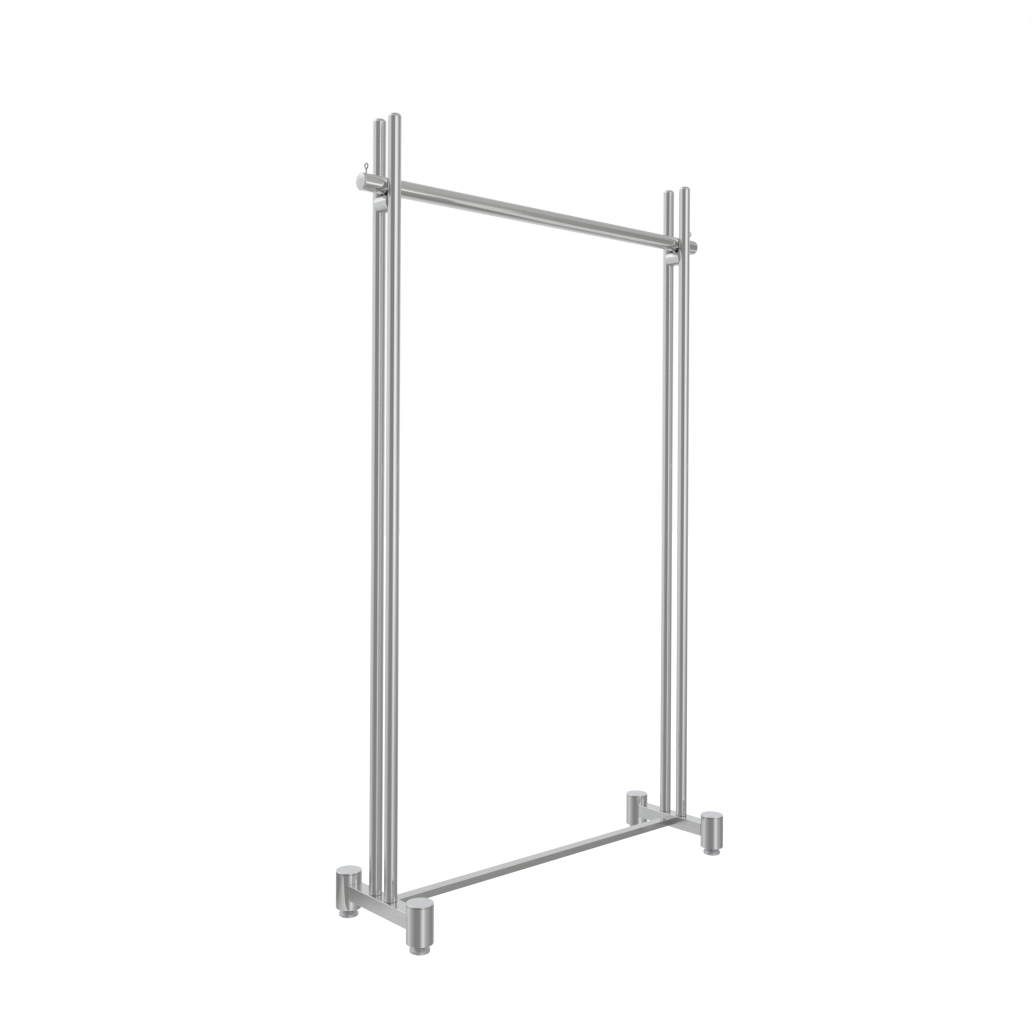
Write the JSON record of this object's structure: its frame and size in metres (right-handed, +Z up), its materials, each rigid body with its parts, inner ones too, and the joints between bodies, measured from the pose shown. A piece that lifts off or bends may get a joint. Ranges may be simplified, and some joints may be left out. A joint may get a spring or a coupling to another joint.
{
  "type": "valet stand",
  "caption": "Free-standing clothes rack: paired round uprights on weighted foot bars carry a thick hanging rail with removable ring-headed stop pins, on screw-adjustable levelling feet.",
  "frame": {"origin": "on the floor, midway between the four levelling feet", "axes": "+X along the hanging rail to the right, +Y to the rear, +Z up"},
  "size_m": [1.065, 0.315, 1.717],
  "materials": {
    "polished_steel": "mirror-polished stainless steel",
    "satin_steel": "fine satin, brushed along the bar",
    "pin_steel": "bright drawn wire",
    "hidden_steel": "plain machined steel",
    "glide_steel": "turned steel pad, unpolished"
  },
  "bodies": {
    "frame": {"hanging_rail": "polished_steel", "stretcher": "satin_steel", "left_foot_bar": "satin_steel", "left_post_bolts": "hidden_steel", "left_upright_bolts": "hidden_steel", "left_tie_rod": "polished_steel", "left_rail_cap": "polished_steel", "left_stretcher_plug": "hidden_steel", "left_stretcher_bolt": "hidden_steel", "right_foot_bar": "satin_steel", "right_post_bolts": "hidden_steel", "right_upright_bolts": "hidden_steel", "right_tie_rod": "polished_steel", "right_rail_cap": "polished_steel", "right_stretcher_plug": "hidden_steel", "right_stretcher_bolt": "hidden_steel", "left_front_post": "polished_steel", "left_front_post_cap": "polished_steel", "left_front_post_bushing": "hidden_steel", "left_front_upright": "polished_steel", "left_front_upright_cap": "polished_steel", "left_front_upright_insert": "hidden_steel", "left_rear_post": "polished_steel", "left_rear_post_cap": "polished_steel", "left_rear_post_bushing": "hidden_steel", "left_rear_upright": "polished_steel", "left_rear_upright_cap": "polished_steel", "left_rear_upright_insert": "hidden_steel", "right_front_post": "polished_steel", "right_front_post_cap": "polished_steel", "right_front_post_bushing": "hidden_steel", "right_front_upright": "polished_steel", "right_front_upright_cap": "polished_steel", "right_front_upright_insert": "hidden_steel", "right_rear_post": "polished_steel", "right_rear_post_cap": "polished_steel", "right_rear_post_bushing": "hidden_steel", "right_rear_upright": "polished_steel", "right_rear_upright_cap": "polished_steel", "right_rear_upright_insert": "hidden_steel"},
    "left_pin": {"left_stop_pin": "pin_steel"},
    "right_pin": {"right_stop_pin": "pin_steel"},
    "left_front_foot": {"left_front_glide": "glide_steel"},
    "left_front_screw": {"left_front_spindle": "hidden_steel"},
    "left_rear_foot": {"left_rear_glide": "glide_steel"},
    "left_rear_screw": {"left_rear_spindle": "hidden_steel"},
    "right_front_foot": {"right_front_glide": "glide_steel"},
    "right_front_screw": {"right_front_spindle": "hidden_steel"},
    "right_rear_foot": {"right_rear_glide": "glide_steel"},
    "right_rear_screw": {"right_rear_spindle": "hidden_steel"}
  },
  "joints": [
    {"name": "left_pin_pull", "type": "slide", "parent": "frame", "child": "left_pin", "axis": [0, 0, 1], "range_m": [0, 0.045]},
    {"name": "right_pin_pull", "type": "slide", "parent": "frame", "child": "right_pin", "axis": [0, 0, 1], "range_m": [0, 0.045]},
    {"name": "left_front_foot_lift", "type": "slide", "parent": "frame", "child": "left_front_foot", "axis": [0, 0, -1], "range_m": [-0.0015, 0.012]},
    {"name": "left_front_screw_turn", "type": "hinge", "parent": "left_front_foot", "child": "left_front_screw", "pos_m": [-0.464, -0.129, 0.02], "axis": [0, 0, -1], "range_deg": [-360, 2880]},
    {"name": "left_rear_foot_lift", "type": "slide", "parent": "frame", "child": "left_rear_foot", "axis": [0, 0, -1], "range_m": [-0.0015, 0.012]},
    {"name": "left_rear_screw_turn", "type": "hinge", "parent": "left_rear_foot", "child": "left_rear_screw", "pos_m": [-0.464, 0.129, 0.02], "axis": [0, 0, -1], "range_deg": [-360, 2880]},
    {"name": "right_front_foot_lift", "type": "slide", "parent": "frame", "child": "right_front_foot", "axis": [0, 0, -1], "range_m": [-0.0015, 0.012]},
    {"name": "right_front_screw_turn", "type": "hinge", "parent": "right_front_foot", "child": "right_front_screw", "pos_m": [0.464, -0.129, 0.02], "axis": [0, 0, -1], "range_deg": [-360, 2880]},
    {"name": "right_rear_foot_lift", "type": "slide", "parent": "frame", "child": "right_rear_foot", "axis": [0, 0, -1], "range_m": [-0.0015, 0.012]},
    {"name": "right_rear_screw_turn", "type": "hinge", "parent": "right_rear_foot", "child": "right_rear_screw", "pos_m": [0.464, 0.129, 0.02], "axis": [0, 0, -1], "range_deg": [-360, 2880]}
  ],
  "couplings": [
    {"joint": "left_front_screw_turn", "follows": "left_front_foot_lift", "rad_per_m": 4188.8},
    {"joint": "left_rear_screw_turn", "follows": "left_rear_foot_lift", "rad_per_m": 4188.8},
    {"joint": "right_front_screw_turn", "follows": "right_front_foot_lift", "rad_per_m": 4188.8},
    {"joint": "right_rear_screw_turn", "follows": "right_rear_foot_lift", "rad_per_m": 4188.8}
  ]
}
